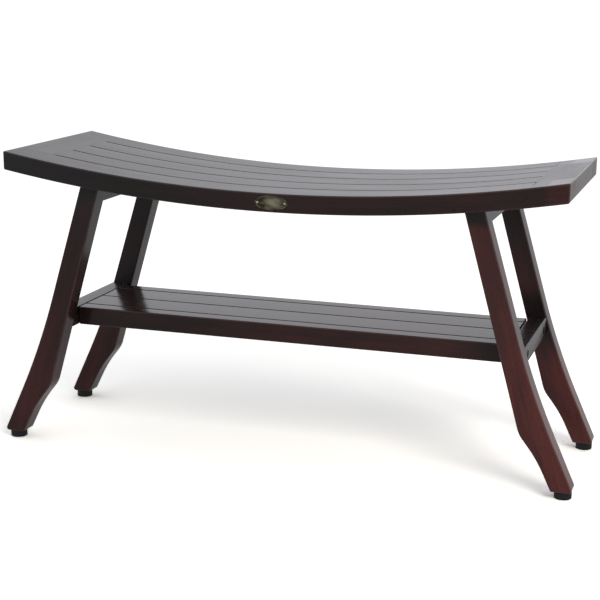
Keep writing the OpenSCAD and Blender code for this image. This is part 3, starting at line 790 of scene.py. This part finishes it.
class BENCH_OT_legs(bpy.types.Operator):
    """Makes the four sabre legs, sawn from wide boards, with bored toes"""

    bl_idname = "bench.legs"
    bl_label = "Legs"

    # How red each leg's board is at its top, beside the shelf and at its toe, and how high these places
    # are: the right-hand legs are redder, and the red grows downwards as painted shade under the seat and
    # painted light from the floor towards the toe.
    TONES_AND_PAINTED_LIGHT = {
        "front_left": (0.08, 0.26, 0.38), "front_right": (0.42, 0.52, 1.0),
        "back_left": (0.0, 0.20, 0.38), "back_right": (0.0, 0.34, 1.0),
    }
    TOP, BESIDE_SHELF, TOE = 0.42, 0.24, 0.14
    # Painted shade of the seat and the cross rail on the leg. It turns dark between the first two heights,
    # and at the cross rail, on the face that takes its tenon, it is plain again between the last two.
    UNDER_SEAT = (0.390, 0.401)
    AT_CROSS_RAIL = (0.140, 0.185, 0.240, 0.262)
    # Radii of the holes for the insert and for the tip of the stud, and the depth of the second.
    INSERT_BORE, STUD_BORE, STUD_DEEP = 5.05 * MM, 3.3 * MM, 20 * MM

    def execute(self, context):
        leg = settings().leg
        outline = leg_outline()
        top = max(z for x, z in outline)
        lean = math.tan((leg.lean_outer + leg.lean_inner) / 2)
        insert_top = BOXES["foot_inserts"][1][2]
        for place in CORNERS:
            node = "leg_" + place
            side = 1 if place.endswith("right") else -1
            low, high = BOXES[node]
            bm = prism([(side * x, z) for x, z in outline], low[1], high[1])
            for height in self.UNDER_SEAT + self.AT_CROSS_RAIL:
                turn_colour(bm, (0, 0, height), (0, 0, 1))

            def long_edge(middle, way):
                return abs(way.y) < 0.1 and middle.z < top - 8 * MM

            ease(bm, settings().edge.leg, long_edge, steps=4)
            low, high = BOXES["foot_pad_" + place]
            x, y, toe = (low[0] + high[0]) / 2, (low[1] + high[1]) / 2, high[2]
            bore = rod(self.INSERT_BORE, (x, y, toe - 2 * MM), (x, y, insert_top))
            tip = rod(self.STUD_BORE, (x, y, toe), (x, y, toe + self.STUD_DEEP))
            bm = carve(bm, [bore, tip])
            grain = straight(node, (-side * lean, 0, 1))
            wood_piece(node + "_sabre", bm, node, grain, self.redness(*self.TONES_AND_PAINTED_LIGHT[place]))
        return {"FINISHED"}

    @classmethod
    def redness(cls, top, middle, toe):
        """Runs from the top's redness by way of the middle's to the toe's, and is dark with painted shade at
        the joints.
        """
        joint_face = BOXES["leg_back_right"][0][1] + 3 * MM

        def by_place(co):
            tone = middle + (top - middle) * rise(co.z, cls.BESIDE_SHELF, cls.TOP)
            tone += (toe - middle) * rise(co.z, cls.BESIDE_SHELF, cls.TOE)
            # Painted shade under the seat and, on the inner face, at the cross rail.
            plain = rise(co.z, *reversed(cls.UNDER_SEAT))
            if abs(co.y) < joint_face:
                under, low_edge, high_edge, over = cls.AT_CROSS_RAIL
                plain *= max(rise(co.z, low_edge, under), rise(co.z, high_edge, over))
            return tone * max(0.1, plain)

        return by_place


class BENCH_OT_cross_rails(bpy.types.Operator):
    """Eases the edges of the upper and lower cross rails"""

    bl_idname = "bench.cross_rails"
    bl_label = "Cross Rails"

    def execute(self, context):
        leg_inner = BOXES["leg_back_right"][0][1]
        for end in ("left", "right"):
            node = "upper_cross_rail_" + end
            low, high = BOXES[node]

            def hanging(middle, way):
                lowest = middle.z < low[2] + MM
                outermost = abs(middle.x) > max(abs(low[0]), abs(high[0])) - MM
                return abs(way.y) > 0.99 and abs(middle.y) < leg_inner and (lowest or outermost)

            crosswise_bar(node, settings().edge.shelf, hanging)
        for end in ("left", "right"):
            node = "lower_cross_rail_" + end
            low, high = BOXES[node]

            def at_corner(middle, way):
                by_x = touches(middle.x, low[0], high[0])
                return abs(way.y) > 0.99 and by_x and touches(middle.z, low[2], high[2])

            crosswise_bar(node, settings().edge.shelf, at_corner, redness=0.0)
        return {"FINISHED"}


# ---------------------------------------------------------------- shelf


class BENCH_OT_shelf(bpy.types.Operator):
    """Eases the edges of the shelf's rails, slats and battens"""

    bl_idname = "bench.shelf"
    bl_label = "Shelf"

    # Where along the shelf its boards are reddest.
    REDDEST = 0.235

    def execute(self, context):
        edge = settings().edge
        outer = BOXES["shelf_back_rail"][1][1]
        for node in ("shelf_front_rail", "shelf_back_rail", "shelf_slat_front", "shelf_slat_back"):
            low, high = BOXES[node]
            bm = from_cad(node)
            turn_colour(bm, (self.REDDEST, 0, 0), (1, 0, 0))

            def outside(middle, way):
                return abs(way.x) > 0.99 and touches(abs(middle.y), outer)

            def beside_slot(middle, way):
                at_corner = touches(middle.y, low[1], high[1]) and touches(middle.z, low[2], high[2])
                return abs(way.x) > 0.99 and at_corner and not touches(abs(middle.y), outer, slack=MM)

            ease(bm, edge.shelf, outside)
            ease(bm, edge.slot, beside_slot, steps=2)
            grain = straight(node, (1, 0, 0))
            wood_piece(node + "_board", bm, node, grain, self.redness, oiled=lambda co: 1.0)
        for node in ("shelf_batten_left", "shelf_batten_middle", "shelf_batten_right"):
            low, high = BOXES[node]

            def lower_corner(middle, way):
                return abs(way.y) > 0.99 and touches(middle.z, low[2]) and on_long_side(node, middle)

            crosswise_bar(node, edge.batten, lower_corner, steps=2)
        return {"FINISHED"}

    @classmethod
    def redness(cls, co):
        """The shelf's boards grow redder from the left, and are dark again at their right end."""
        left, right = BOXES["shelf_front_rail"][0][0], BOXES["shelf_front_rail"][1][0]
        if co.x < cls.REDDEST:
            return 0.10 + 0.30 * (co.x - left) / (cls.REDDEST - left)
        return 0.40 * (right - co.x) / (right - cls.REDDEST)


# ---------------------------------------------------------------- feet, badge and hardware


def round_about(steps):
    """Points of a circle of radius 1."""
    return [(math.cos(math.tau * i / steps), math.sin(math.tau * i / steps)) for i in range(steps)]


def lathe(rings):
    """A closed solid from rings of equally many points, each next to the last; one point makes a tip."""
    bm = bmesh.new()
    rings = [[bm.verts.new(point) for point in ring] for ring in rings]
    for one, two in zip(rings, rings[1:]):
        steps = max(len(one), len(two))
        for i in range(steps):
            j = (i + 1) % steps
            if len(one) == 1:
                bm.faces.new((one[0], two[i], two[j]))
            elif len(two) == 1:
                bm.faces.new((one[j], one[i], two[0]))
            else:
                bm.faces.new((one[j], one[i], two[i], two[j]))
    if len(rings[-1]) > 1:
        bm.faces.new(rings[-1])
    bmesh.ops.recalc_face_normals(bm, faces=bm.faces)
    return bm


def turned(profile, centre, steps=64):
    """A round solid about a standing axis; profile runs from the axis out and back, as radius and height."""
    x, y, z = centre
    return lathe([
        [(x + radius * c, y + radius * d, z + height) for c, d in round_about(steps if radius else 1)]
        for radius, height in profile
    ])


class BENCH_OT_feet(bpy.types.Operator):
    """Makes the moulded pads of the levelling feet"""

    bl_idname = "bench.feet"
    bl_label = "Levelling Feet"

    TREAD, RIM = 1.5 * MM, 0.6 * MM  # radii of the lower and the upper edge
    RING, HOLLOW = 5 * MM, 0.4 * MM  # width of the ring that it stands on, and depth of the hollow inside
    STUD, STUD_DEEP = 3 * MM, 8 * MM  # radius and depth of the hole that holds the stud

    def execute(self, context):
        for place in CORNERS:
            node = "foot_pad_" + place
            low, high = BOXES[node]
            centre = ((low[0] + high[0]) / 2, (low[1] + high[1]) / 2, low[2])
            bm = turned(self.profile((high[0] - low[0]) / 2, high[2] - low[2]), centre)
            rubber = made_of("Rubber_moulded", moulded_rubber)
            finish_piece(node + "_rubber", bm, rubber, [node], body="foot_" + place)
        return {"FINISHED"}

    @classmethod
    def profile(cls, radius, tall):
        """From the middle of the tread out, up and over to the stud's hole."""
        tread, rim, ring, hollow = cls.TREAD, cls.RIM, cls.RING, cls.HOLLOW
        points = [(0, hollow), (radius - ring, hollow), (radius - ring - hollow, 0), (radius - tread, 0)]
        for turn in (math.pi / 2 * i / 6 for i in range(1, 7)):
            points.append((radius - tread + tread * math.sin(turn), tread - tread * math.cos(turn)))
        for turn in (math.pi / 2 * i / 4 for i in range(5)):
            points.append((radius - rim + rim * math.cos(turn), tall - rim + rim * math.sin(turn)))
        return points + [(cls.STUD, tall), (cls.STUD, tall - cls.STUD_DEEP), (0, tall - cls.STUD_DEEP)]


class BENCH_OT_badge(bpy.types.Operator):
    """Makes the bare oval badge and its two pins"""

    bl_idname = "bench.badge"
    bl_label = "Badge"

    # The plate from the middle out, in shares of its radius: a low dome, a shallow groove, a raised rim and
    # its rounded edge. The dome's crown and the rim's points have their height in millimetres.
    CROWN, DOME_END = 0.26, 0.86
    DOME = (0.0, 0.15, 0.3, 0.45, 0.6, 0.7, 0.78, 0.83)
    RIM = ((0.86, -0.05), (0.89, 0.10), (0.92, 0.18), (0.95, 0.16), (0.98, 0.06), (1.0, -0.12))
    # A pin's head and shank, from the tip back: share of the head's radius, and height in millimetres.
    HEAD = ((0, 0.55), (0.5, 0.5), (0.8, 0.36), (0.95, 0.2), (1.0, 0.0))
    SHANK = ((0.55, -0.1), (0.55, -0.6), (0, -0.6))

    def execute(self, context):
        low, high = BOXES["badge_plate"]
        a, b = (high[0] - low[0]) / 2, (high[2] - low[2]) / 2
        middle, face, back = (low[2] + high[2]) / 2, low[1], high[1]
        dome = [(out, self.CROWN * (1 - (out / self.DOME_END) ** 2)) for out in self.DOME]
        outline = [(out, face - proud * MM) for out, proud in dome + list(self.RIM)] + [(1.0, back)]
        bm = lathe([
            [(a * out * c, y, middle + b * out * d) for c, d in round_about(96 if out else 1)]
            for out, y in outline
        ])

        def tarnish(co):
            """Thick in the groove and round the pins, thin on the rim and right of the middle, where rubbed
            metal carries a painted highlight.
            """
            out = math.hypot(co.x / a, (co.z - middle) / b)
            if out > 0.85:
                return 1.05 if out < 0.88 else 0.93
            # Painted highlight: the tarnish thins to the right of the middle, as well as where the dome is
            # rubbed.
            rubbed = 1 - math.hypot((co.x - 0.15 * a) / (0.75 * a), (co.z - middle) / (1.3 * b))
            return 1.0 - 0.30 * max(0.0, rubbed)

        brass = made_of("Brass_stamped_aged", aged_brass)
        finish_piece("badge_plate_oval", bm, brass, ["badge_plate"], tarnish=tarnish)

        low, high = BOXES["badge_pins"]
        radius = (high[2] - low[2]) / 2
        under_head = low[1] + (self.HEAD[0][1] + 0.01) * MM
        profile = [(out * radius, height * MM) for out, height in self.HEAD + self.SHANK]
        pins = bmesh.new()
        for x in (radius - high[0], high[0] - radius):
            pin = turned(profile, (0, 0, 0), 32)
            pin.transform(
                Matrix.Translation((x, under_head, middle)) @ Matrix.Rotation(math.radians(90), 4, "X")
            )
            mesh = bpy.data.meshes.new("pin")
            pin.to_mesh(mesh)
            pin.free()
            pins.from_mesh(mesh)
            bpy.data.meshes.remove(mesh)
        finish_piece("badge_pins_domed", pins, brass, ["badge_pins"], tarnish=lambda co: 0.45)
        return {"FINISHED"}


class BENCH_OT_hardware(bpy.types.Operator):
    """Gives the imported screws, bolts, dowels and studs their finish"""

    bl_idname = "bench.hardware"
    bl_label = "Hardware"

    STAINLESS = ("shelf_barrel_nuts", "foot_inserts", *("foot_stud_" + place for place in CORNERS))
    BLACKENED = (
        "seat_slat_screws", "seat_batten_screws", "shelf_batten_screws", "shelf_bolts", "shelf_bolt_washers",
    )

    def execute(self, context):
        hardware = settings().hardware
        for nodes, name, tint in (
            (self.STAINLESS, "Stainless_steel_turned", hardware.steel),
            (self.BLACKENED, "Black_oxide_steel_turned", hardware.black),
        ):
            for node in nodes:
                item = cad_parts[node]
                if not item.material_slots:
                    raise RuntimeError(node + " has no material slot")
                for place in item.material_slots:
                    place.link = "OBJECT"
                    place.material = made_of(name, turned_steel, tint)
        for node, way in (("seat_corner_dowels", (1, 0, 0)), ("leg_top_dowels", (0, 0, 1))):
            wood_piece(node + "_pegs", from_cad(node), node, straight(node, way))
        return {"FINISHED"}


# ---------------------------------------------------------------- studio


def seen_directly(tree, mirrored):
    """1 for rays from the camera, mirrored for those from a gloss or glass, 0 for light on the bench."""
    path = add(tree, "LightPath").outputs
    bounced = (path["Is Glossy Ray"], path["Is Transmission Ray"])
    bounced = add(tree, "Math", bounced, operation="MAXIMUM")
    return add(tree, "Math", (bounced, mirrored, path["Is Camera Ray"]), operation="MULTIPLY_ADD")


def paper_sweep(tree):
    """Paper, matt and pale: seen white apart from the bench's shadow. A gloss shows it paler behind the
    bench than in front of it, as a painted falloff of the light towards the front."""
    studio = settings().studio
    # Seen at full white, with a little over, whatever the room's light on it.
    white = [1.06 / (studio.sky * part) for part in studio.room]
    spot = add(tree, "SeparateXYZ", (add(tree, "TexCoord").outputs["Object"],))
    # Painted reflection: what a gloss sees of the floor brightens from the front to the back.
    painted_falloff = add(tree, "MapRange", (spot.outputs["Y"], -0.4, 0.4, 0.08, 0.25))
    tone = add(tree, "Mix", {
        "Factor": seen_directly(tree, painted_falloff), "A": rgba(studio.floor), "B": rgba(white),
    }, data_type="RGBA")
    return add(tree, "BsdfDiffuse", {"Color": tone})


class BENCH_OT_studio(bpy.types.Operator):
    """Sets the floor, the lamps, the room's light and the camera"""

    bl_idname = "bench.studio"
    bl_label = "Studio"

    def execute(self, context):
        studio = settings().studio
        self.lay_floor()
        self.light_room(studio)
        for name, power, tint, size, place, target in (
            ("Key", studio.key, studio.key_colour, 1.5, (1.8, -1.9, 1.9), (0.2, 0.0, 0.2)),
            ("Fill", studio.fill, studio.fill_colour, 0.9, (-2.0, -2.6, 0.45), (-0.3, 0.0, 0.4)),
        ):
            self.hang_lamp(name, power, tint, size, place, target)
        self.set_camera(context)
        return {"FINISHED"}

    @staticmethod
    def lay_floor():
        """A plain pale floor."""
        mesh = bpy.data.meshes.new("Studio_floor")
        bm = bmesh.new()
        bmesh.ops.create_grid(bm, x_segments=4, y_segments=4, size=30)
        bm.to_mesh(mesh)
        bm.free()
        mesh.materials.append(made_of("Floor_paper_white", paper_sweep))
        floor = bpy.data.objects.new("Studio_floor", mesh)
        bpy.context.scene.collection.objects.link(floor)

    @staticmethod
    def light_room(studio):
        """Even light from all round; a viewer and a mirror see a white room."""
        world = bpy.data.worlds.new("Studio_room")
        bpy.context.scene.world = world
        world.use_nodes = True
        tree = world.node_tree
        tree.nodes.clear()
        strength = add(tree, "MapRange", (seen_directly(tree, 1.0), 0.0, 1.0, studio.sky, 1.0))
        tone = add(tree, "Mix", {
            "Factor": seen_directly(tree, 0.0), "A": rgba(studio.room), "B": rgba((1.0, 1.0, 1.0)),
        }, data_type="RGBA")
        room = add(tree, "Background", {"Color": tone, "Strength": strength})
        add(tree, "OutputWorld", {"Surface": room})

    @staticmethod
    def hang_lamp(name, power, tint, size, place, target):
        """A round lamp at a place, turned to its target."""
        lamp = bpy.data.lights.new(name, "AREA")
        lamp.shape = "DISK"
        lamp.size = size
        lamp.energy = power
        lamp.color = tint
        item = bpy.data.objects.new(name, lamp)
        item.location = place
        item.rotation_euler = (Vector(target) - Vector(place)).to_track_quat("-Z", "Y").to_euler()
        bpy.context.scene.collection.objects.link(item)

    @staticmethod
    def set_camera(context):
        """The photographer's place: in front, a little to the right, looking down on the bench."""
        place = (0.6862, -2.1311, 0.7520)
        yaw, pitch, roll = math.radians(-16.195), math.radians(-14.793), math.radians(0.982)
        # In pixels of the frame: its width, the focal length, and how far the picture's middle is shifted.
        frame_width, focal, shift_x, shift_y = 600, 1452.3, -42, 46
        sensor = 36

        ahead = Vector((math.sin(yaw) * math.cos(pitch), math.cos(yaw) * math.cos(pitch), math.sin(pitch)))
        level = Vector((math.cos(yaw), -math.sin(yaw), 0))
        upright = level.cross(ahead)
        right = math.cos(roll) * level + math.sin(roll) * upright
        up = math.cos(roll) * upright - math.sin(roll) * level
        camera = bpy.data.cameras.new("Camera")
        camera.sensor_width = sensor
        camera.lens = sensor * focal / frame_width
        camera.shift_x = shift_x / frame_width
        camera.shift_y = shift_y / frame_width
        camera.clip_end = 100
        item = bpy.data.objects.new("Camera", camera)
        item.matrix_world = Matrix.Translation(place) @ Matrix((right, up, -ahead)).transposed().to_4x4()
        context.scene.collection.objects.link(item)
        context.scene.camera = item


# ---------------------------------------------------------------- add-on


class BENCH_PT_panel(bpy.types.Panel):
    """Lists the bench's pieces and their settings"""

    bl_label = "Shower Bench"
    bl_idname = "BENCH_PT_panel"
    bl_space_type = "VIEW_3D"
    bl_region_type = "UI"
    bl_category = "Bench"

    def draw(self, context):
        bench = context.scene.shower_bench
        for part in self.own(bench):
            box = self.layout.box()
            box.label(text=part.name)
            group = getattr(bench, part.identifier)
            for item in self.own(group):
                box.prop(group, item.identifier)
        for kind in OPERATORS:
            self.layout.operator(kind.bl_idname)

    @staticmethod
    def own(group):
        """A group's properties, without the two that every group has."""
        return [item for item in group.bl_rna.properties if item.identifier not in {"rna_type", "name"}]


OPERATORS = (
    BENCH_OT_seat_rails,
    BENCH_OT_seat_slats,
    BENCH_OT_end_boards,
    BENCH_OT_seat_battens,
    BENCH_OT_legs,
    BENCH_OT_cross_rails,
    BENCH_OT_shelf,
    BENCH_OT_feet,
    BENCH_OT_badge,
    BENCH_OT_hardware,
    BENCH_OT_studio,
)
GROUPS = (SeatSizes, LegSizes, EasedEdges, WoodFinish, HardwareFinish, StudioSettings, BenchSettings)


def register():
    """Makes the settings, the operators and the panel known to Blender."""
    for kind in GROUPS + OPERATORS + (BENCH_PT_panel,):
        bpy.utils.register_class(kind)
    bpy.types.Scene.shower_bench = PointerProperty(type=BenchSettings)


def unregister():
    """Takes them away again."""
    del bpy.types.Scene.shower_bench
    for kind in reversed(GROUPS + OPERATORS + (BENCH_PT_panel,)):
        bpy.utils.unregister_class(kind)


def main():
    """Builds the bench and its studio."""
    register()
    bpy.ops.bench.seat_rails()
    bpy.ops.bench.seat_slats()
    bpy.ops.bench.end_boards()
    bpy.ops.bench.seat_battens()
    bpy.ops.bench.legs()
    bpy.ops.bench.cross_rails()
    bpy.ops.bench.shelf()
    bpy.ops.bench.feet()
    bpy.ops.bench.badge()
    bpy.ops.bench.hardware()
    bpy.ops.bench.studio()
    bpy.context.scene.view_settings.view_transform = "Standard"
    bpy.context.view_layer.update()


if __name__ == "__main__":
    main()
